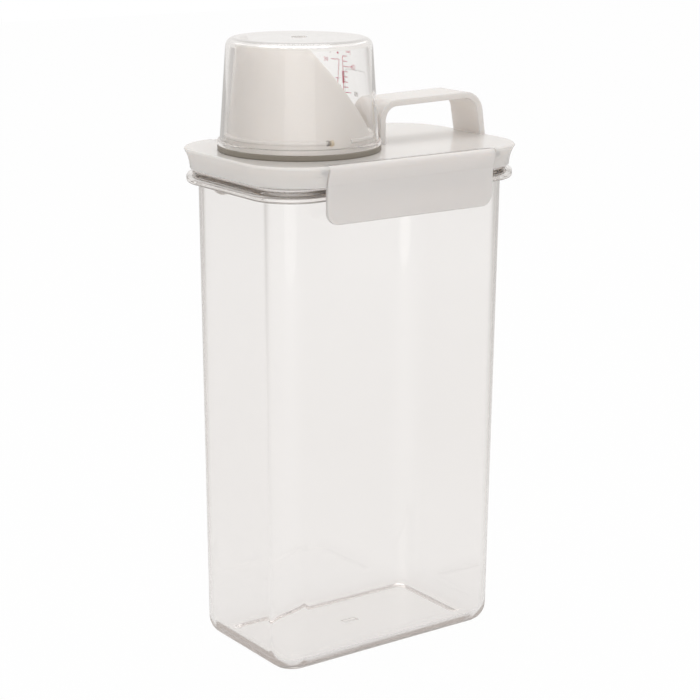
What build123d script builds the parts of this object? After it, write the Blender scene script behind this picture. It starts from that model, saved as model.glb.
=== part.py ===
"""Measuring dispenser bottle: a clear container, a lid with a pouring spout, handle and
two locking flaps, and a clear measuring cup that closes the spout.

Millimetres, +Z up. The origin is the centre of the base. The spout is towards -X, the
handle towards +X, and the flaps hang on the two long sides, -Y and +Y.
"""
from math import cos, radians, sin, tan
import os

from build123d import *

os.makedirs("parts", exist_ok=True)

# Container: outline at the base, growing by the draft up to the rim
base_half_x = 61.2
base_half_y = 36.2
base_corner_r = 12.6
body_height = 216.2
body_draft = 2.3
body_wall = 2.0
floor_thickness = 2.6
base_edge_r = 8.5

# Container floor: a panel pressed upwards inside a standing rim, with the gate mark
panel_inset = 12.9
panel_rise = 1.0
panel_corner_r = 3.5
gate_mark_r = 4.0
gate_mark_depth = 0.6

# Container rim: a flange with a turned-down lip, and the neck that the lid plugs into
flange_overhang = 5.4
flange_height = 4.8
flange_ledge = 2.0
flange_lip = 1.8
flange_edge = 0.5
neck_offset = 1.6
neck_wall = 2.0
neck_height = 8.6

# Lid: a flat deck that overhangs the flange, with a flared skirt
lid_overhang_x = 1.5
lid_overhang_y = 4.1
lid_corner_r = 27.0
deck_thickness = 2.2
deck_seat_gap = 0.2
edge_r = 1.0
skirt_flare = 2.5
skirt_waist = 0.75
skirt_wall = 1.8
skirt_gap = 1.7

# Lid plug inside the neck, with its seal in a groove
plug_gap = 1.2
plug_wall = 1.9
plug_depth = 10.2
seal_drop = 4.6
seal_height = 3.2
seal_groove = 0.9
seal_squeeze_gap = 0.15
seal_lip_depth = 0.8

# Spout: a tapered tube on the deck, cut off at a slant towards the handle
spout_x = -28.1
spout_base_r = 33.1
spout_top_r = 27.8
spout_wall = 1.8
spout_height = 47.2
spout_rim_length = 15.2
spout_slant_deg = 50.5
spout_low_rim = 8.6

# Snap bead round the foot of the spout, with a gap at the front and the back
bead_rise = 6.0
bead_height = 2.0
bead_flank = 0.6
bead_clearance = 0.25
bead_gap_deg = 16.0

# Ring seal round the foot of the spout, which the cup's mouth closes on
ring_width = 3.1
ring_height = 2.4
ring_edge = 0.4

# Measuring cup, upside down over the spout
cup_seat_gap = 0.1
cup_mouth_gap = 0.7
cup_top_gap = 2.7
cup_wall = 1.5
cup_crown = 1.6
cup_lip_width = 1.0
cup_lip_height = 2.2
cup_lip_edge = 0.4
cup_headroom = 0.4
cup_shoulder_r = 3.8
cup_gate_r = 3.0
cup_gate_depth = 0.5

# Handle: a flat strap bent into a low bridge
handle_width = 20.0
handle_strap = 2.8
handle_near_x = 9.2
handle_foot_x = 69.8
handle_lean = 3.1
handle_height = 19.3
handle_rise = 1.2
handle_near_r = 9.0
handle_far_r = 10.5

# Locking flaps, hinged on pins in the skirt and hooked under the flange
flap_half_width = 44.8
flap_wall = 1.9
flap_face_inset = 1.7
flap_drop = 25.8
flap_corner_r = 6.0
flap_edge = 0.6
flap_shoulder = 6.0
flap_side_gap = 0.3
hinge_inset = 2.4
hinge_drop = 2.4
barrel_r = 2.3
barrel_gap = 0.3
hinge_pin_r = 0.9
hinge_pin_length = 2.4
hinge_pin_clearance = 0.05
lug_width = 4.0
lug_depth = 4.4
lug_cover = 0.4
hook_length = 76.0
hook_engagement = 1.6
hook_height = 2.2
hook_gap = 0.4

# How far a piece that is cut or joined reaches past the face it meets
overlap = 1.0

# Angles at which a rounded edge is drawn, from the wall to the flat
round_steps = (0.0, 30.0, 60.0, 90.0)

# Levels and places that follow from the sizes above
flange_top = body_height + flange_height
neck_top = flange_top + neck_height
deck_under = neck_top + deck_seat_gap
deck_top = deck_under + deck_thickness
skirt_bottom = flange_top + skirt_gap
spout_top = deck_top + spout_height
cup_mouth_r = spout_base_r + cup_mouth_gap + cup_wall
cup_top_r = spout_top_r + cup_top_gap + cup_wall
cup_lip_r = cup_mouth_r + cup_lip_width
cup_mouth = deck_top + ring_height + cup_seat_gap
cup_inner_top = spout_top + cup_headroom
cup_top = cup_inner_top + cup_crown
lid_half_x = base_half_x + body_draft + flange_overhang + lid_overhang_x
lid_half_y = base_half_y + body_draft + flange_overhang + lid_overhang_y
flap_face_y = lid_half_y - flap_face_inset
hinge_y = lid_half_y - hinge_inset
hinge_z = deck_top - hinge_drop
notch_half = flap_half_width + flap_side_gap
flap_bottom = deck_top - flap_drop

# Outlines that follow from the sizes above, as half length, half width and corner radius
body_outline = (base_half_x, base_half_y, base_corner_r)
lid_outline = (lid_half_x, lid_half_y, lid_corner_r)


def grown(outline, by):
    """The outline moved outwards by a distance, or inwards by a negative one."""
    return tuple(size + by for size in outline)


rim_outline = grown(body_outline, body_draft)
flange_outline = grown(rim_outline, flange_overhang)
neck_outline = grown(rim_outline, neck_offset)
neck_bore = grown(neck_outline, -neck_wall)
plug_outline = grown(neck_bore, -plug_gap)


def plate(outline, z):
    """A flat rounded rectangle at a height."""
    half_x, half_y, corner_r = outline
    return Pos(0, 0, z) * RectangleRounded(2 * half_x, 2 * half_y, corner_r)


def slab(outline, z_low, z_high):
    """A straight block with a rounded rectangular outline."""
    return extrude(plate(outline, z_low), z_high - z_low)


def funnel(low_outline, z_low, high_outline, z_high):
    """A block whose outline changes evenly from one height to another."""
    return loft([plate(low_outline, z_low), plate(high_outline, z_high)], ruled=True)


def round_bottomed(low_outline, z_low, high_outline, z_high, edge_r):
    """A funnel with a rounded bottom edge."""
    taper = (high_outline[0] - low_outline[0]) / (z_high - z_low)
    plates = [
        plate(grown(low_outline, taper * edge_r * (1 - sin(a)) - edge_r * (1 - cos(a))),
              z_low + edge_r * (1 - sin(a)))
        for a in map(radians, reversed(round_steps))]
    return loft(plates + [plate(high_outline, z_high)], ruled=True)


def edges_at(solid, z):
    """The edges that lie flat at a height."""
    return solid.edges().filter_by_position(Axis.Z, z - 0.01, z + 0.01)


def swept_ring(outline, section):
    """A closed ring: the section's X is the distance inside the outline, its Y the height."""
    path = plate(outline, 0).face().outer_wire()
    start, along = path @ 0, path % 0
    inward = Vector(0, 0, 1).cross(along)
    if inward.dot(start) > 0:
        along, inward = along * -1, inward * -1
    frame = Plane(origin=start, x_dir=inward, z_dir=along)
    return sweep(frame * section, path=path)


def turned(*section):
    """A solid turned round the spout's axis from the points of its section, as radius and height."""
    return Pos(spout_x, 0, 0) * revolve(Plane.XZ * make_face(Polyline(*section, close=True)), Axis.Z)


def frustum(r_low, z_low, r_high, z_high):
    """A cone's slice round the spout's axis."""
    return turned((0, z_low), (r_low, z_low), (r_high, z_high), (0, z_high))


def disc(radius, z_low, z_high, x=0.0):
    """A round block standing on a height."""
    return Pos(x, 0, z_low) * extrude(Circle(radius), z_high - z_low)


def block(x_range, y_range, z_range):
    """A rectangular block between two corners."""
    (x0, x1), (y0, y1), (z0, z1) = x_range, y_range, z_range
    return Pos((x0 + x1) / 2, (y0 + y1) / 2, (z0 + z1) / 2) * Box(x1 - x0, y1 - y0, z1 - z0)


def make_container():
    """The clear body: drafted walls, pressed floor, flange, lip and neck in one moulding."""
    shell = round_bottomed(body_outline, 0, rim_outline, body_height, base_edge_r)

    inner_low = grown(body_outline, -body_wall + body_draft * floor_thickness / body_height)
    inner_high = grown(rim_outline, -body_wall)
    hollow = round_bottomed(inner_low, floor_thickness, inner_high, body_height, base_edge_r - body_wall)

    flange = slab(flange_outline, body_height, flange_top)
    flange = chamfer(edges_at(flange, flange_top) + edges_at(flange, body_height), flange_edge)
    lip_bore = grown(flange_outline, -flange_lip)
    under_ledge = slab(lip_bore, body_height, flange_top - flange_ledge) - slab(
        rim_outline, body_height, flange_top - flange_ledge)
    neck = slab(neck_outline, flange_top - flange_ledge, neck_top)
    throat = funnel(inner_high, body_height, neck_bore, flange_top)
    mouth = slab(neck_bore, flange_top, neck_top)

    panel = grown(body_outline, -panel_inset)[:2] + (panel_corner_r,)
    body = shell + (flange - under_ledge) + neck - hollow - throat - mouth
    body += slab(panel, floor_thickness / 2, floor_thickness + panel_rise)
    body -= slab(panel, 0, panel_rise)
    body -= disc(gate_mark_r, panel_rise, panel_rise + gate_mark_depth)
    body += disc(gate_mark_r, floor_thickness, floor_thickness + panel_rise + gate_mark_depth)
    return body


def skirt_section():
    """The lid's edge and skirt: a rounded tip at the top, then a hollow flare downwards."""
    tip = deck_top - edge_r
    middle = (tip + skirt_bottom) / 2
    edge = Polyline(*[
        (edge_r * (1 - cos(a)), tip + edge_r * sin(a)) for a in map(radians, reversed(round_steps))])
    flare = ThreePointArc((0, tip), (skirt_flare * skirt_waist, middle), (skirt_flare, skirt_bottom))
    inner = Polyline(
        (skirt_flare, skirt_bottom),
        (skirt_flare + skirt_wall, skirt_bottom),
        (skirt_flare + skirt_wall, deck_under),
        (skirt_flare + 2 * skirt_wall, deck_under),
        (skirt_flare + 2 * skirt_wall, deck_top),
        (edge_r, deck_top),
    )
    return make_face(edge + flare + inner)


def spout_outer_r(z):
    """The spout's outer radius at a height."""
    return spout_base_r + (spout_top_r - spout_base_r) * (z - deck_top) / spout_height


def cup_outer_r(z):
    """The cup's outer radius at a height."""
    return cup_mouth_r + (cup_top_r - cup_mouth_r) * (z - cup_mouth) / (cup_top - cup_mouth)


def make_bead():
    """The snap bead, in two arcs that leave a gap at the front and at the back."""
    low, high = deck_top + bead_rise, deck_top + bead_rise + bead_height
    outer = cup_outer_r(high) - cup_wall - bead_clearance
    root = spout_outer_r(high) - spout_wall / 2
    profile = make_face(Polyline(
        (root, low),
        (spout_outer_r(low), low),
        (outer, low + bead_flank),
        (outer, high - bead_flank),
        (spout_outer_r(high), high),
        (root, high),
        close=True))
    arc = 180.0 - bead_gap_deg
    arcs = Part() + [
        Rot(0, 0, side * 180 - arc / 2) * revolve(Plane.XZ * profile, Axis.Z, revolution_arc=arc)
        for side in (0, 1)]
    return Pos(spout_x, 0, 0) * arcs


def make_spout():
    """The pouring tube with its level rim, slanted cut and low rim at the handle side."""
    tube = frustum(spout_base_r, deck_under, spout_top_r, spout_top)
    corner_x = spout_x - spout_top_r + spout_rim_length
    low_rim = deck_top + spout_low_rim
    slant_run = (spout_top - low_rim) / tan(radians(spout_slant_deg))
    end_x = spout_x + 2 * spout_base_r
    cut_off = make_face(Polyline(
        (corner_x, spout_top),
        (corner_x + slant_run, low_rim),
        (end_x + slant_run, low_rim),
        (end_x + slant_run, spout_top + overlap),
        (corner_x, spout_top + overlap),
        close=True))
    cutter = extrude(Plane.XZ * cut_off, 2 * spout_base_r, both=True)
    return tube - cutter + make_bead()


def spout_bore():
    """The passage through the deck and the spout."""
    low, high = deck_under - overlap, spout_top + overlap
    return frustum(spout_outer_r(low) - spout_wall, low, spout_outer_r(high) - spout_wall, high)


def make_handle():
    """The strap: up beside the spout, along the grip, and down a leaning leg to the deck."""
    foot = deck_top - deck_thickness / 2
    top_near = deck_top + handle_height
    top_far = top_near + handle_rise
    lean = handle_lean / (top_far - deck_top)
    far_top_x = handle_foot_x - handle_lean
    outer = make_face(FilletPolyline(
        (handle_near_x, foot), (handle_near_x, top_near), (far_top_x, top_far),
        (handle_foot_x + lean * (deck_top - foot), foot),
        radius=[handle_near_r, handle_far_r]) + Line(
            (handle_foot_x + lean * (deck_top - foot), foot), (handle_near_x, foot)))
    inner_near_x = handle_near_x + handle_strap
    inner_foot_x = handle_foot_x - handle_strap
    inner = make_face(FilletPolyline(
        (inner_near_x, foot), (inner_near_x, top_near - handle_strap),
        (far_top_x - handle_strap, top_far - handle_strap),
        (inner_foot_x + lean * (deck_top - foot), foot),
        radius=[handle_near_r - handle_strap, handle_far_r - handle_strap]) + Line(
            (inner_foot_x + lean * (deck_top - foot), foot), (inner_near_x, foot)))
    return extrude(Plane.XZ * (outer - inner), handle_width / 2, both=True)


def mirrored(part):
    """The part and its mirror image across the XZ plane."""
    return part + mirror(part, about=Plane.XZ)


def hinge_cylinder(radius, half_length):
    """A cylinder on the front flap's hinge axis."""
    axle = extrude(Plane.YZ * Circle(radius), half_length, both=True)
    return Pos(0, -hinge_y, hinge_z) * axle


def flap_notch():
    """The room for the front flap in the skirt and the deck's edge."""
    reach = barrel_r + barrel_gap
    far = lid_half_y + overlap
    span = (-notch_half, notch_half)
    outside = block(span, (-far, -hinge_y), (skirt_bottom - overlap, deck_top + overlap))
    below = block(span, (-far, -hinge_y + reach), (skirt_bottom - overlap, hinge_z))
    return outside + below + hinge_cylinder(reach, notch_half)


def hinge_lugs():
    """The blocks inside the skirt, at both ends of the front flap, that hold its pins."""
    lugs = Part()
    for side in (-1, 1):
        x_range = sorted((side * notch_half, side * (notch_half + lug_width)))
        y_range = (-hinge_y - lug_cover, -hinge_y - lug_cover + lug_depth)
        lugs += block(x_range, y_range, (hinge_z - barrel_r, deck_under + deck_thickness / 2))
    return lugs


def make_lid():
    """The lid in one moulding: deck, skirt, hinge lugs, plug, spout and handle."""
    deck_inset = -(skirt_flare + skirt_wall)
    lid = swept_ring(lid_outline, skirt_section())
    lid += slab(grown(lid_outline, deck_inset), deck_under, deck_top)
    lid += mirrored(hinge_lugs())

    plug = slab(plug_outline, deck_under - plug_depth, deck_under)
    groove_high = deck_under - seal_drop
    groove = slab(plug_outline, groove_high - seal_height, groove_high) - slab(
        grown(plug_outline, -seal_groove), groove_high - seal_height, groove_high)
    lid += plug - slab(grown(plug_outline, -plug_wall), deck_under - plug_depth, deck_under) - groove

    lid += make_handle()
    lid += make_spout()
    lid -= spout_bore()

    socket_half = notch_half + hinge_pin_length + 2 * flap_side_gap
    lid -= mirrored(flap_notch())
    lid -= mirrored(hinge_cylinder(hinge_pin_r + hinge_pin_clearance, socket_half))
    return lid


def make_lid_seal():
    """The silicone ring in the plug's groove, with two lips towards the neck."""
    bottom = deck_under - seal_drop - seal_height
    outer_gap = seal_squeeze_gap
    root = seal_lip_depth + outer_gap
    back = plug_gap + seal_groove
    step = seal_height / 4
    section = make_face(Polyline(
        (back, bottom),
        (root, bottom),
        (outer_gap, bottom + step),
        (root, bottom + 2 * step),
        (outer_gap, bottom + 3 * step),
        (root, bottom + seal_height),
        (back, bottom + seal_height),
        close=True))
    return swept_ring(neck_bore, section)


def make_spout_seal():
    """The flat grey ring round the foot of the spout."""
    ring = disc(spout_base_r + ring_width, deck_top, deck_top + ring_height, x=spout_x)
    ring = chamfer(ring.edges(), ring_edge)
    return ring - frustum(spout_base_r, deck_top, spout_outer_r(deck_top + ring_height), deck_top + ring_height)


def cup_shoulder(top_z, edge_r, inward):
    """The section's points round the cup's closed end, from the wall, which may lie inward, to the flat."""
    centre_z = top_z - edge_r
    centre_r = cup_outer_r(centre_z) - inward - edge_r
    return [(centre_r + edge_r * cos(a), centre_z + edge_r * sin(a)) for a in map(radians, round_steps)]


def make_cup():
    """The clear cup, mouth down, with a lip at the mouth and a rounded closed end."""
    lip_top = cup_mouth + cup_lip_height
    outside = [
        (cup_lip_r - cup_lip_edge, cup_mouth),
        (cup_lip_r, cup_mouth + cup_lip_edge),
        (cup_lip_r, lip_top - cup_lip_edge),
        (cup_lip_r - cup_lip_edge, lip_top),
        (cup_outer_r(lip_top), lip_top),
        *cup_shoulder(cup_top, cup_shoulder_r, 0),
    ]
    inside = [
        (cup_outer_r(cup_mouth) - cup_wall, cup_mouth),
        *cup_shoulder(cup_inner_top, cup_shoulder_r - cup_wall, cup_wall),
    ]
    gate = [(cup_gate_r, cup_top), (cup_gate_r, cup_top - cup_gate_depth), (0, cup_top - cup_gate_depth)]
    return turned(*outside, *gate, (0, cup_inner_top), *reversed(inside))


def flap_section():
    """The front flap seen from its end, X outwards from the hinge axis and Y up."""
    face = flap_face_y - hinge_y
    back = face - flap_wall
    bottom = flap_bottom - hinge_z
    outline = make_face(Polyline(
        (barrel_r, 0),
        (face, -flap_shoulder),
        (face, bottom + flap_edge),
        (face - flap_edge, bottom),
        (back + flap_edge, bottom),
        (back, bottom + flap_edge),
        (back, 0),
        close=True))
    return outline + Circle(barrel_r)


def make_front_flap():
    """The flap: barrel and pins at the top, a plate with round corners, a hook rib inside."""
    section = Plane(origin=(0, -hinge_y, hinge_z), x_dir=(0, -1, 0), z_dir=(-1, 0, 0)) * flap_section()
    flap = extrude(section, flap_half_width, both=True)

    # the front view of the plate, whose upper corners lie above the flap, so that only the lower ones are round
    face_top = deck_top + flap_corner_r
    front_view = Pos(0, (face_top + flap_bottom) / 2) * RectangleRounded(
        2 * flap_half_width, face_top - flap_bottom, flap_corner_r)
    flap &= extrude(Plane.XZ * front_view, lid_half_y + overlap)

    hook_tip = flange_outline[1] - hook_engagement
    hook_root = flap_face_y - flap_wall / 2
    hook_top = body_height - hook_gap
    hook = make_face(Polyline(
        (-hook_root, hook_top),
        (-hook_tip, hook_top),
        (-hook_tip, hook_top - hook_height / 2),
        (-hook_root, hook_top - hook_height * 3 / 2),
        close=True))
    flap += extrude(Plane.YZ * hook, hook_length / 2, both=True)
    flap += hinge_cylinder(hinge_pin_r, flap_half_width + flap_side_gap + hinge_pin_length)
    return flap


front_flap = make_front_flap()

nodes = {
    "container": make_container(),
    "lid": make_lid(),
    "lid_seal": make_lid_seal(),
    "spout_seal": make_spout_seal(),
    "measuring_cup": make_cup(),
    "front_flap": front_flap,
    "back_flap": mirror(front_flap, about=Plane.XZ),
}

for name, part in nodes.items():
    export_step(part, f"parts/{name}.step")
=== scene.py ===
"""Looks of the measuring dispenser bottle: clear mouldings, materials, printed scale and studio.
The frame's origin is the middle of the base, with +Z up, +X towards the handle and -Y the front."""

import math

import bpy
from mathutils import Matrix, Vector


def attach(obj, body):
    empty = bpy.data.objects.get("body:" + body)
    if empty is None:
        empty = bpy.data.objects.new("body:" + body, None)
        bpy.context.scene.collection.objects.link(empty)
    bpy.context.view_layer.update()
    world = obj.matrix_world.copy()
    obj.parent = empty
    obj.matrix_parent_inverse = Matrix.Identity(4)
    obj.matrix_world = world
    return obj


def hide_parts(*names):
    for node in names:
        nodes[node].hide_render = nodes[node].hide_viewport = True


MM = 0.001

# The container, in millimetres. Offsets count outwards from the outline of its base.
base_half_x = 61.2
base_half_y = 36.2
base_corner_r = 12.6
base_edge_r = 8.5
wall_lean = 2.33
wall_top_z = 219.0
inner_wall_foot = -1.97
inner_wall_top = 0.3
inner_corner_tighter = 0.8
lip_low_z = 216.2
lip_inner = 5.9
lip_outer = 7.7
flange_top_z = 221.0
neck_outer = 3.9
neck_inner = 1.9
neck_top_z = 229.6

# Its floor: a standing rim round a panel that lies higher underneath and lower inside
underside_z = 1.0
underside_slope = (-13.9, -11.4)
rim_z = 3.2
panel_z = 2.6
panel_step = (-12.9, -13.1)
panel_corner_r = 3.5
panel_inner_ring = -15.2
# The gate mark's edge as (radius, rise)
gate_mark_edge = ((2.0, 0.2), (3.9, 0.2), (4.0, 0.17), (4.15, 0.03), (4.25, 0.0), (5.0, 0.0))

# The cup, upside down over the spout
cup_x = -28.1
cup_mouth_z = 234.5
cup_mouth_r = 35.3
cup_mouth_inner_r = 33.8
cup_lip_r = 36.3
cup_lip_top_z = 236.7
cup_lip_wall_r = 35.14
cup_top_z = 281.2
cup_top_r = 32.0
cup_ceiling_z = 279.6
cup_ceiling_r = 30.64
cup_gate_r = 3.5
cup_gate_z = 280.2
cup_segments = 180

# The photograph's view, and the level directions ahead of it and to its right
view_place = (-0.510885, -0.709781, 0.363711)
view_turn_deg = 35.75
view_down_deg = 14.6
view_roll_deg = 0.3
view_lens_mm = 100.41
view_ahead = (0.584, 0.812, 0.0)
view_right = (0.812, -0.584, 0.0)

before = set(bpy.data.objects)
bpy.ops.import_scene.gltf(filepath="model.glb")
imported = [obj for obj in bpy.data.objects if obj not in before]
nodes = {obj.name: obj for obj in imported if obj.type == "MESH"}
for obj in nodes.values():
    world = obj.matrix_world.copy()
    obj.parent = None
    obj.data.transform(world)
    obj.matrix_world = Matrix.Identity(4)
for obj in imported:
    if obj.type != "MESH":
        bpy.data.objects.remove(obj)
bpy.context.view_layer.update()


def linear(hex_colour):
    """An sRGB hex value as a linear colour."""
    channels = [int(hex_colour[i:i + 2], 16) / 255 for i in (1, 3, 5)]
    return [c / 12.92 if c <= 0.04045 else ((c + 0.055) / 1.055) ** 2.4 for c in channels] + [1.0]


def add(tree, kind, inputs=None, **settings):
    """Adds a node with its settings. A value in inputs that is another node's output gets linked."""
    node = tree.nodes.new(kind)
    for name, value in settings.items():
        setattr(node, name, value)
    for name, value in (inputs or {}).items():
        if isinstance(value, bpy.types.NodeSocket):
            tree.links.new(value, node.inputs[name])
        else:
            node.inputs[name].default_value = value
    return node


def maths(tree, operation, *values):
    """The result of a sum, product or other step with plain values."""
    return add(tree, "ShaderNodeMath", dict(enumerate(values)), operation=operation).outputs[0]


def remap(tree, value, given, wanted):
    """A value carried from one span to another, and held at its ends."""
    return add(tree, "ShaderNodeMapRange", {
        "Value": value, "From Min": given[0], "From Max": given[1],
        "To Min": wanted[0], "To Max": wanted[1]}).outputs["Result"]


def noise(tree, place, size_mm, detail):
    """Smooth noise, from 0 to 1, with patches of about a size."""
    return add(tree, "ShaderNodeTexNoise", {
        "Vector": place, "Scale": 1 / (size_mm * MM), "Detail": detail}).outputs["Fac"]


def relief(tree, height, depth_mm):
    """A shading normal for a relief of some depth."""
    return add(tree, "ShaderNodeBump", {
        "Height": height, "Strength": 1.0, "Distance": depth_mm * MM}).outputs["Normal"]


def blend(tree, factor, first, second):
    """A colour between two."""
    return add(tree, "ShaderNodeMix", {"Factor": factor, "A": first, "B": second},
               data_type="RGBA").outputs["Result"]


def new_material(name):
    """An empty material, its node tree, and the place on the piece that its texture reads."""
    material = bpy.data.materials.new(name)
    material.use_nodes = True
    tree = material.node_tree
    tree.nodes.clear()
    return material, tree, add(tree, "ShaderNodeTexCoord").outputs["Object"]


def dress(node_name, material):
    """Gives a CAD node's mesh its material."""
    for slot in nodes[node_name].material_slots:
        slot.material = material


def clear_styrene(name, density, waviness_mm):
    """SAN, injection moulded in a polished steel tool: hard, clear, faintly grey, and scuffed where it stands."""
    material, tree, place = new_material(name)
    # flow marks that bend what is seen through the wall
    ripples = relief(tree, noise(tree, place, 30, 1.0), waviness_mm)
    # the polish is a little duller in patches, from handling
    haze = remap(tree, noise(tree, place, 20, 3.0), (0.35, 0.75), (0.02, 0.06))
    # the foot and the underside are dulled by sliding about on shelves
    height = add(tree, "ShaderNodeSeparateXYZ", {"Vector": place}).outputs["Z"]
    low = remap(tree, height, (1.2 * MM, 6.0 * MM), (1.0, 0.0))
    facing = add(tree, "ShaderNodeSeparateXYZ", {
        "Vector": add(tree, "ShaderNodeTexCoord").outputs["Normal"]}).outputs["Z"]
    scuffs = remap(tree, facing, (-0.9, -0.3), (0.22, 0.0))
    surface = add(tree, "ShaderNodeBsdfPrincipled", {
        "Base Color": linear("#FFFEFD"), "Roughness": maths(tree, "MULTIPLY_ADD", low, scuffs, haze),
        "IOR": 1.57, "Transmission Weight": 1.0, "Normal": ripples})
    # lamps shine through the clear wall, and light that is trapped in it gets out at its third mirroring
    open_wall = add(tree, "ShaderNodeBsdfTransparent", {"Color": linear("#FEFDFC")})
    path = add(tree, "ShaderNodeLightPath").outputs
    trapped = maths(tree, "GREATER_THAN", path["Glossy Depth"], 2.5)
    both = add(tree, "ShaderNodeMixShader", {
        0: maths(tree, "MAXIMUM", path["Is Shadow Ray"], trapped),
        1: surface.outputs["BSDF"], 2: open_wall.outputs["BSDF"]})
    # the plastic's own faint grey, which deepens where the wall is thick or seen edge on
    body = add(tree, "ShaderNodeVolumeAbsorption", {"Color": linear("#BCB1AE"), "Density": density})
    add(tree, "ShaderNodeOutputMaterial", {"Surface": both.outputs["Shader"], "Volume": body.outputs["Volume"]})
    return material


def moulded_polypropylene(name, colours, roughness, grain_mm, grain_depth_mm, spots=()):
    """Polypropylene, injection moulded: opaque warm white with a faint glow under the surface."""
    material, tree, place = new_material(name)
    # the tool's finish as fine grain
    grain = relief(tree, noise(tree, place, grain_mm, 3.0), grain_depth_mm)
    # the melt cools unevenly, so colour and polish drift along the moulding
    clouds = noise(tree, place, 30, 2.0)
    colour = blend(tree, clouds, linear(colours[0]), linear(colours[1]))
    polish = remap(tree, clouds, (0.3, 0.7), (roughness - 0.03, roughness + 0.04))
    if spots:
        # small spots of colour with a ragged edge, each round a given point
        ragged = noise(tree, place, 0.8, 2.0)
        for tint, spot, reach_mm, strength in spots:
            far = add(tree, "ShaderNodeVectorMath", {0: place, 1: Vector(spot) * MM}, operation="DISTANCE")
            edge = maths(tree, "MULTIPLY_ADD", ragged, 1.6 * MM, far.outputs["Value"])
            mask = remap(tree, edge, ((reach_mm - 0.7) * MM, reach_mm * MM), (strength, 0.0))
            colour = blend(tree, mask, colour, linear(tint))
    surface = add(tree, "ShaderNodeBsdfPrincipled", {
        "Base Color": colour, "Roughness": polish, "IOR": 1.49,
        "Subsurface Weight": 0.6, "Subsurface Radius": (1.0, 0.93, 0.87), "Subsurface Scale": 4.0 * MM,
        "Normal": grain})
    add(tree, "ShaderNodeOutputMaterial", {"Surface": surface.outputs["BSDF"]})
    return material


def moulded_silicone(name, colours, glow):
    """Silicone rubber, compression moulded: matt, soft, with a slight bloom on the surface."""
    material, tree, place = new_material(name)
    bloom = noise(tree, place, 4, 4.0)
    surface = add(tree, "ShaderNodeBsdfPrincipled", {
        "Base Color": blend(tree, bloom, linear(colours[0]), linear(colours[1])),
        "Roughness": 0.58, "IOR": 1.41,
        "Subsurface Weight": glow, "Subsurface Radius": (1.0, 0.9, 0.8), "Subsurface Scale": 1.0 * MM,
        "Sheen Weight": 0.1, "Normal": relief(tree, bloom, 0.02)})
    add(tree, "ShaderNodeOutputMaterial", {"Surface": surface.outputs["BSDF"]})
    return material


def pad_print_ink(name, colours):
    """Pad-print ink, a thin dry film: dull, and a little patchy where the pad left less of it."""
    material, tree, place = new_material(name)
    surface = add(tree, "ShaderNodeBsdfPrincipled", {
        "Base Color": blend(tree, noise(tree, place, 0.7, 2.0), linear(colours[0]), linear(colours[1])),
        "Roughness": 0.55, "IOR": 1.5})
    add(tree, "ShaderNodeOutputMaterial", {"Surface": surface.outputs["BSDF"]})
    return material


def table_paper():
    """White paper, matt: the eye sees it lit to plain white, and through the clear walls it is a little greyer, with
    painted shade close to the object and a painted lit strip.
    """
    material, tree, place = new_material("table_white")
    paint = add(tree, "ShaderNodeBsdfDiffuse", {"Color": linear("#E9E8E7")})
    white = add(tree, "ShaderNodeEmission", {"Color": (1.0, 1.0, 1.0, 1.0), "Strength": 1.0})
    # seen through the clear walls it has painted shade close by, standing for the object's shadow, and painted
    # darkness beside a painted lit strip that widens away from the camera
    far = add(tree, "ShaderNodeVectorMath", {0: place}, operation="LENGTH").outputs["Value"]
    painted_shade_near = remap(tree, far, (0.15, 0.8), (0.72, 0.93))
    to_right = add(tree, "ShaderNodeVectorMath", {0: place, 1: view_right}, operation="DOT_PRODUCT")
    off_axis = maths(tree, "ABSOLUTE", to_right.outputs["Value"])
    painted_lit_strip = remap(tree, maths(tree, "MULTIPLY_ADD", far, -0.12, off_axis), (0.06, 0.22), (1.0, 0.0))
    # the painted shade and the painted lit strip, shown only through the clear walls
    through = maths(tree, "MULTIPLY", ray_is(tree, "Is Transmission Ray"),
                    maths(tree, "MULTIPLY", painted_shade_near, painted_lit_strip))
    # the share of plain white: 0.98 to the eye, and through the clear walls the painted shade and painted lit strip
    glow = maths(tree, "MULTIPLY_ADD", ray_is(tree, "Is Camera Ray"), 0.98, through)
    both = add(tree, "ShaderNodeMixShader", {0: glow, 1: paint.outputs[0], 2: white.outputs[0]})
    add(tree, "ShaderNodeOutputMaterial", {"Surface": both.outputs[0]})
    return material


def rounded_section(corners, steps=6, hold=1.2):
    """Points along a section whose corners, (across, height, radius), are rounded in even steps.
    A long straight run gets a point close to each end, which keeps its shading flat."""
    points = [Vector(corners[0][:2])]
    for before, corner, after in zip(corners, corners[1:], corners[2:]):
        here, radius = Vector(corner[:2]), corner[2]
        back, ahead = (Vector(before[:2]) - here).normalized(), (Vector(after[:2]) - here).normalized()
        half = back.angle(ahead) / 2
        reach = radius / math.tan(half)
        centre = here + (back + ahead).normalized() * radius / math.sin(half)
        start, end = here + back * reach - centre, here + ahead * reach - centre
        arc = [centre + start.slerp(end, step / steps).normalized() * radius for step in range(steps + 1)]
        run = arc[0] - points[-1]
        if run.length > 3 * hold:
            points += [points[-1] + run.normalized() * hold, arc[0] - run.normalized() * hold]
        points += arc
    points.append(Vector(corners[-1][:2]))
    return points


def box_ring(grow, z, tighter=0.0, steps=20, hold=1.5):
    """A level ring round the container, outside its base outline by grow, with even steps in the corners."""
    half_x, half_y = base_half_x + grow, base_half_y + grow
    radius = max(base_corner_r + grow - tighter, panel_corner_r)
    ring = []
    for quarter, (side_x, side_y) in enumerate(((1, 1), (-1, 1), (-1, -1), (1, -1))):
        middle = Vector((side_x * (half_x - radius), side_y * (half_y - radius), z))
        turn = Matrix.Rotation(math.radians(90 * quarter), 3, "Z")
        # the corner between two points on its straight sides, which keep those sides' shading flat
        ring.append(middle + turn @ Vector((radius, -hold, 0)))
        for step in range(steps + 1):
            angle = math.radians(90 * step / steps)
            ring.append(middle + turn @ Vector((radius * math.cos(angle), radius * math.sin(angle), 0)))
        ring.append(middle + turn @ Vector((-hold, radius, 0)))
    return ring


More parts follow.
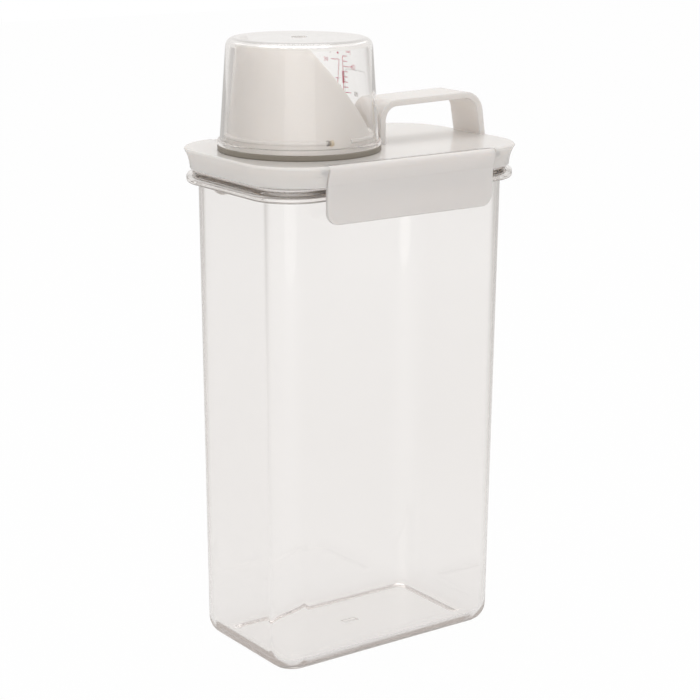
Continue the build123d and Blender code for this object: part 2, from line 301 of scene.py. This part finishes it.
def round_ring(radius, z, centre_x, angles):
    """A level ring round an upright axis, with a point at each angle."""
    return [Vector((centre_x + radius * math.cos(a), radius * math.sin(a), z)) for a in angles]


def new_piece(name, mesh, material):
    """A mesh with one material as a piece in the scene."""
    mesh.materials.append(material)
    piece = bpy.data.objects.new(name, mesh)
    bpy.context.scene.collection.objects.link(piece)
    return piece


def skin(name, rings, body, node, material):
    """A closed wall through level rings, with a pole at either end, which stands for a CAD node."""
    count = len(rings[0])
    poles = [sum(rings[0], Vector((0, 0, 0))) / count, sum(rings[-1], Vector((0, 0, 0))) / count]
    points = [point * MM for ring in rings for point in ring] + [pole * MM for pole in poles]
    faces = [
        (row * count + i, row * count + (i + 1) % count, (row + 1) * count + (i + 1) % count, (row + 1) * count + i)
        for row in range(len(rings) - 1) for i in range(count)]
    first, last, top_row = len(points) - 2, len(points) - 1, (len(rings) - 1) * count
    faces += [(first, (i + 1) % count, i) for i in range(count)]
    faces += [(last, top_row + i, top_row + (i + 1) % count) for i in range(count)]
    mesh = bpy.data.meshes.new(name)
    mesh.from_pydata(points, [], faces)
    mesh.shade_smooth()
    piece = new_piece(name, mesh, material)
    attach(piece, body)
    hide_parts(node)


def make_container(material):
    """The clear body, from the gate mark under its floor, up the outside, over the neck and down the inside."""
    outside = rounded_section([
        # underneath, down the slope from the panel to the standing rim
        (panel_inner_ring, underside_z), (underside_slope[0], underside_z, 2.0), (underside_slope[1], 0.0, 2.0),
        (0.0, 0.0, base_edge_r),
        # the wall, and the flange with its turned-down lip
        (wall_lean, wall_top_z, 1.2), (lip_inner, wall_top_z, 1.2), (lip_inner, lip_low_z, 0.3),
        (lip_outer, lip_low_z, 1.4), (lip_outer, flange_top_z, 2.2),
        # the neck
        (neck_outer, flange_top_z, 1.3), (neck_outer, neck_top_z, 0.6), (neck_outer - 1.0, neck_top_z)])
    inside = rounded_section([
        (neck_inner + 0.9, neck_top_z), (neck_inner, neck_top_z, 0.6), (neck_inner, flange_top_z, 1.5),
        (inner_wall_top, lip_low_z, 4.0), (inner_wall_foot, rim_z, 6.5),
        # the step down to the panel
        (panel_step[0], rim_z, 0.15), (panel_step[1], panel_z, 0.15), (panel_inner_ring, panel_z)])
    rings = [box_ring(across, height) for across, height in outside]
    # the corners are thicker than the walls, as the inside is rounded less, from the rim up to the neck
    rings += [box_ring(across, height, inner_corner_tighter if -12 < across < 1.0 and height < 216.5 else 0.0)
              for across, height in inside]
    angles = [math.atan2(point.y, point.x) for point in box_ring(panel_inner_ring, 0)]
    below = [round_ring(radius, underside_z + rise, 0.0, angles) for radius, rise in gate_mark_edge]
    above = [round_ring(radius, panel_z + rise, 0.0, angles) for radius, rise in reversed(gate_mark_edge)]
    skin("clear_container", below + rings + above, "container", "container", material)


def make_cup(material):
    """The clear cup, from the middle of its ceiling, down the inside, round the lip, up and over to its gate mark."""
    section = rounded_section([
        (1.0, cup_ceiling_z), (cup_ceiling_r, cup_ceiling_z, 2.3), (cup_mouth_inner_r, cup_mouth_z, 0.3),
        (cup_lip_r, cup_mouth_z, 0.5), (cup_lip_r, cup_lip_top_z, 0.6), (cup_lip_wall_r, cup_lip_top_z, 0.4),
        (cup_top_r, cup_top_z, 3.8),
        # the gate mark, a small sunk disc
        (cup_gate_r, cup_top_z, 0.06), (cup_gate_r - 0.1, cup_gate_z, 0.06), (1.0, cup_gate_z)])
    angles = [2 * math.pi * step / cup_segments for step in range(cup_segments)]
    rings = [round_ring(radius, height, cup_x, angles) for radius, height in section]
    skin("clear_cup", rings, "cup", "measuring_cup", material)


def scale_ticks_tree(material):
    """Geometry nodes that lay out a column of ticks, downwards from the first, each a thin strip to one side."""
    tree = bpy.data.node_groups.new("scale_ticks", "GeometryNodeTree")
    tree.interface.new_socket("Geometry", in_out="OUTPUT", socket_type="NodeSocketGeometry")
    for name, kind in (("Ticks", "Int"), ("Spacing", "Float"), ("Short tick", "Float"), ("Long tick", "Float"),
                       ("Line width", "Float"), ("Long every", "Int"), ("First long", "Int")):
        tree.interface.new_socket(name, in_out="INPUT", socket_type="NodeSocket" + kind)
    given = add(tree, "NodeGroupInput").outputs
    step = add(tree, "ShaderNodeCombineXYZ", {"Z": maths(tree, "MULTIPLY", given["Spacing"], -1.0)})
    places = add(tree, "GeometryNodeMeshLine", {"Count": given["Ticks"], "Offset": step.outputs[0]})
    index = add(tree, "GeometryNodeInputIndex").outputs[0]
    from_long = maths(tree, "SUBTRACT", index, given["First long"])
    is_long = maths(tree, "LESS_THAN", maths(tree, "FLOORED_MODULO", from_long, given["Long every"]), 0.5)
    length = add(tree, "ShaderNodeMix", {"Factor": is_long, "A": given["Short tick"], "B": given["Long tick"]})
    size = add(tree, "ShaderNodeCombineXYZ", {"X": length.outputs["Result"], "Y": 1.0, "Z": given["Line width"]})
    strip = add(tree, "GeometryNodeMeshGrid", {"Size X": 1.0, "Size Y": 1.0, "Vertices X": 9, "Vertices Y": 2})
    upright = add(tree, "GeometryNodeTransform", {
        "Geometry": strip.outputs["Mesh"], "Translation": (0.5, 0.0, 0.0), "Rotation": (math.pi / 2, 0.0, 0.0)})
    ticks = add(tree, "GeometryNodeInstanceOnPoints", {
        "Points": places.outputs["Mesh"], "Instance": upright.outputs[0], "Scale": size.outputs[0]})
    real = add(tree, "GeometryNodeRealizeInstances", {"Geometry": ticks.outputs[0]})
    inked = add(tree, "GeometryNodeSetMaterial", {"Geometry": real.outputs[0], "Material": material})
    add(tree, "NodeGroupOutput", {"Geometry": inked.outputs[0]})
    return tree


def taken_out(holder):
    """The finished mesh of a helper object, which then goes."""
    mesh = bpy.data.meshes.new_from_object(holder.evaluated_get(bpy.context.evaluated_depsgraph_get()))
    bpy.data.objects.remove(holder)
    return mesh


def flat_ticks(tree, sizes):
    """The column of ticks as a flat mesh."""
    holder = bpy.data.objects.new("ticks", bpy.data.meshes.new("ticks"))
    bpy.context.scene.collection.objects.link(holder)
    modifier = holder.modifiers.new("ticks", "NODES")
    modifier.node_group = tree
    sockets = {item.name: item.identifier for item in tree.interface.items_tree if item.in_out == "INPUT"}
    for name, value in sizes.items():
        modifier[sockets[name]] = value
    return taken_out(holder)


def flat_words(words, height_mm):
    """Plain figures as a flat mesh, centred on the origin, read from the front."""
    capital_share = 0.7
    curve = bpy.data.curves.new("figures", "FONT")
    curve.body, curve.size = words, height_mm * MM / capital_share
    curve.align_x, curve.align_y = "CENTER", "CENTER"
    holder = bpy.data.objects.new("figures", curve)
    bpy.context.scene.collection.objects.link(holder)
    mesh = taken_out(holder)
    mesh.transform(Matrix.Rotation(math.pi / 2, 4, "X"))
    return mesh


def flat_strip(points, width_mm):
    """A flat printed line along points, (across, height) in millimetres, in steps that bend round the cup."""
    step_mm = 1.0
    mesh = bpy.data.meshes.new("line")
    corners, faces = [], []
    for start, end in zip(points, points[1:]):
        start, end = Vector(start), Vector(end)
        along = (end - start).normalized()
        side = Vector((-along.y, along.x)) * width_mm / 2
        steps = max(1, round((end - start).length / step_mm))
        start, end = start - along * width_mm / 2, end + along * width_mm / 2
        first = len(corners)
        for step in range(steps + 1):
            point = start.lerp(end, step / steps)
            corners += [point - side, point + side]
        faces += [(first + 2 * i, first + 2 * i + 2, first + 2 * i + 3, first + 2 * i + 1) for i in range(steps)]
    mesh.from_pydata([(x * MM, 0, z * MM) for x, z in corners], [], faces)
    return mesh


def flat_dot(radius_mm, sides=12):
    """A flat printed dot."""
    mesh = bpy.data.meshes.new("dot")
    angles = [2 * math.pi * i / sides for i in range(sides)]
    mesh.from_pydata([(radius_mm * MM * math.cos(a), 0, radius_mm * MM * math.sin(a)) for a in angles], [],
                     [tuple(range(sides))])
    return mesh


def print_on_cup(name, flat_meshes, material, gap_mm=0.005, film_mm=0.03):
    """Wraps flat print round the outside of the cup as one film. Each item is a mesh, its place across and up in
    millimetres, and whether it is turned over, to read upright when the cup stands on its other end."""
    points, faces = [], []
    for mesh, across, height, turned in flat_meshes:
        first = len(points)
        flip = -1 if turned else 1
        points += [(flip * v.co.x / MM + across, flip * v.co.z / MM + height) for v in mesh.vertices]
        faces += [tuple(first + i for i in polygon.vertices) for polygon in mesh.polygons]
    wrapped = []
    for layer in (gap_mm, gap_mm + film_mm):
        for across, height in points:
            share = (height - cup_mouth_z) / (cup_top_z - cup_mouth_z)
            radius = cup_mouth_r + (cup_top_r - cup_mouth_r) * share + layer
            angle = across / cup_mouth_r
            wrapped.append((MM * (cup_x + radius * math.cos(angle)), MM * radius * math.sin(angle), MM * height))
    count = len(points)
    # both sides of the film, joined along its outlines
    edges = {pair for face in faces for pair in zip(face, face[1:] + face[:1])}
    solid = [tuple(reversed(face)) for face in faces] + [tuple(i + count for i in face) for face in faces]
    solid += [(a, b, b + count, a + count) for a, b in sorted(edges) if (b, a) not in edges]
    film = bpy.data.meshes.new(name)
    film.from_pydata(wrapped, [], solid)
    piece = new_piece(name, film, material)
    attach(piece, "cup")


def make_print():
    """The scale printed on the cup's back right, upside down here because the cup stands on its mouth."""
    red = pad_print_ink("pad_print_red", ("#E31B52", "#EC4472"))
    grey = pad_print_ink("pad_print_grey", ("#A79A97", "#B9AEAA"))
    degree = math.radians(1) * cup_mouth_r
    line_mm = 0.3
    column, column_top = 17.6 * degree, 270.35
    side_column, side_top = 21.6 * degree, 268.7
    tree = scale_ticks_tree(red)
    # eight ticks of 8 ml, 2.34 mm apart on this cup, and long ones at 40 and 80 ml
    ticks = flat_ticks(tree, {
        "Ticks": 8, "Spacing": 2.34 * MM, "Short tick": 3.0 * MM, "Long tick": 4.9 * MM,
        "Line width": line_mm * MM, "Long every": 5, "First long": 2})
    # they point to the left of their line, so they are turned about and their faces turned back
    ticks.transform(Matrix.Rotation(math.pi, 4, "Z"))
    ticks.flip_normals()
    side_ticks = flat_ticks(tree, {
        "Ticks": 2, "Spacing": 8.5 * MM, "Short tick": 2.2 * MM, "Long tick": 4.4 * MM,
        "Line width": line_mm * MM, "Long every": 5, "First long": 0})
    print_on_cup("printed_scale", [
        (ticks, column, column_top, False),
        (flat_strip([(0, 0), (0, -16.4)], 0.35), column, column_top, False),
        (flat_strip([(0, 0), (0, -4.4)], 1.1), column, 263.0, False),
        (flat_words("ml", 2.3), 11.0 * degree, 272.6, True),
        (flat_words("40", 2.4), 6.4 * degree, 265.9, True),
        (side_ticks, side_column, side_top, False),
        (flat_strip([(0, 0), (1.4, -11.4), (-0.4, -11.9)], line_mm), 21.2 * degree, side_top, False),
        (flat_words("30", 1.7), 33.4 * degree, side_top, True),
        (flat_dot(0.55), 22.3 * degree, 271.8, False),
    ], red)
    print_on_cup("printed_scale_worn", [
        (flat_words("80", 2.1), 3.6 * degree, 253.9, True),
        (flat_dot(0.45), 29.5 * degree, 271.9, False),
        (flat_strip([(0, -10.0), (0, -1.2), (-1.2, 0), (-17.0, 0), (-18.2, -1.2), (-18.2, -10.0)], 0.16),
         16.0 * degree, 264.6, False),
    ], grey)


def ray_is(tree, name):
    """A factor of 1 for rays of this kind."""
    return add(tree, "ShaderNodeLightPath").outputs[name]


def make_world():
    """A white room to the eye, a slightly greyer one through glass and in gloss, and an even light on the rest."""
    world = bpy.data.worlds.new("studio_room")
    world.use_nodes = True
    tree = world.node_tree
    tree.nodes.clear()
    warm_white = linear("#FFFDFB")
    # white walls behind the object and behind the camera, a white ceiling, and a darker room to both sides
    direction = add(tree, "ShaderNodeTexCoord").outputs["Generated"]
    height = add(tree, "ShaderNodeSeparateXYZ", {"Vector": direction}).outputs["Z"]
    along = add(tree, "ShaderNodeVectorMath", {0: direction, 1: view_ahead}, operation="DOT_PRODUCT")
    open_side = maths(tree, "MAXIMUM", maths(tree, "ABSOLUTE", along.outputs["Value"]),
                      remap(tree, height, (0.25, 0.9), (0.0, 1.0)))
    in_gloss = remap(tree, open_side, (0.3, 0.95), (0.35, 0.88))
    through_glass = remap(tree, open_side, (0.3, 0.8), (0.6, 0.93))
    room = add(tree, "ShaderNodeBackground", {"Color": warm_white, "Strength": 0.65})
    for kind, colour, strength in (
            ("Is Glossy Ray", warm_white, in_gloss), ("Is Transmission Ray", warm_white, through_glass),
            ("Is Camera Ray", (1.0, 1.0, 1.0, 1.0), 1.0)):
        seen = add(tree, "ShaderNodeBackground", {"Color": colour, "Strength": strength})
        room = add(tree, "ShaderNodeMixShader", {0: ray_is(tree, kind), 1: room.outputs[0], 2: seen.outputs[0]})
    add(tree, "ShaderNodeOutputWorld", {"Surface": room.outputs[0]})
    bpy.context.scene.world = world


def make_floor():
    """A plain white table top."""
    reach = 3.0
    mesh = bpy.data.meshes.new("floor")
    mesh.from_pydata([(-reach, -reach, 0), (reach, -reach, 0), (reach, reach, 0), (-reach, reach, 0)], [],
                     [(0, 1, 2, 3)])
    new_piece("floor", mesh, table_paper())


def make_lamp(name, place, target, size, watts, in_gloss=True):
    """A square softbox that shines at a point, and shows in glossy surfaces or not."""
    data = bpy.data.lights.new(name, "AREA")
    data.size, data.energy = size, watts
    lamp = bpy.data.objects.new(name, data)
    bpy.context.scene.collection.objects.link(lamp)
    place, target = Vector(place), Vector(target)
    lamp.location = place
    lamp.visible_glossy = in_gloss
    lamp.rotation_mode = "QUATERNION"
    lamp.rotation_quaternion = (target - place).to_track_quat("-Z", "Y")


def make_camera():
    """The photograph's view, fitted to its outlines."""
    data = bpy.data.cameras.new("camera")
    data.sensor_width, data.lens = 36.0, view_lens_mm
    camera = bpy.data.objects.new("camera", data)
    bpy.context.scene.collection.objects.link(camera)
    turn = (Matrix.Rotation(math.radians(-view_turn_deg), 4, "Z")
            @ Matrix.Rotation(math.radians(90 - view_down_deg), 4, "X")
            @ Matrix.Rotation(math.radians(view_roll_deg), 4, "Z"))
    camera.matrix_world = Matrix.Translation(view_place) @ turn
    bpy.context.scene.camera = camera


make_container(clear_styrene("styrene_clear_container", density=24.0, waviness_mm=0.03))
make_cup(clear_styrene("styrene_clear_cup", density=8.0, waviness_mm=0.006))
dress("lid", moulded_polypropylene(
    "polypropylene_gloss_white", ("#EFEBE8", "#EAE6E2"), roughness=0.09, grain_mm=0.9, grain_depth_mm=0.001,
    spots=(("#C9B179", (-33.4, -31.9, 238.8), 2.6, 0.6), ("#3E2C1B", (-34.9, -31.5, 238.9), 2.3, 0.95))))
satin_white = moulded_polypropylene(
    "polypropylene_satin_white", ("#F3EEEB", "#EFEAE7"), roughness=0.42, grain_mm=0.35, grain_depth_mm=0.004)
dress("front_flap", satin_white)
dress("back_flap", satin_white)
dress("spout_seal", moulded_silicone("silicone_warm_grey", ("#8E877C", "#989186"), glow=0.0))
dress("lid_seal", moulded_silicone("silicone_milky", ("#E8E2DB", "#DDD6CE"), glow=0.3))
make_print()

make_world()
make_floor()
body_middle = (0, 0, 0.15)
lid_middle = (0, 0, 0.22)
make_lamp("softbox_top", (0.1, 0.25, 1.3), body_middle, size=0.8, watts=4.5)
make_lamp("softbox_left", (-0.75, -0.7, 0.65), body_middle, size=0.7, watts=0.8, in_gloss=False)
make_lamp("table_bounce", (-0.45, -0.65, 0.02), lid_middle, size=0.7, watts=1.1, in_gloss=False)
make_camera()
bpy.context.scene.view_settings.view_transform = "Standard"
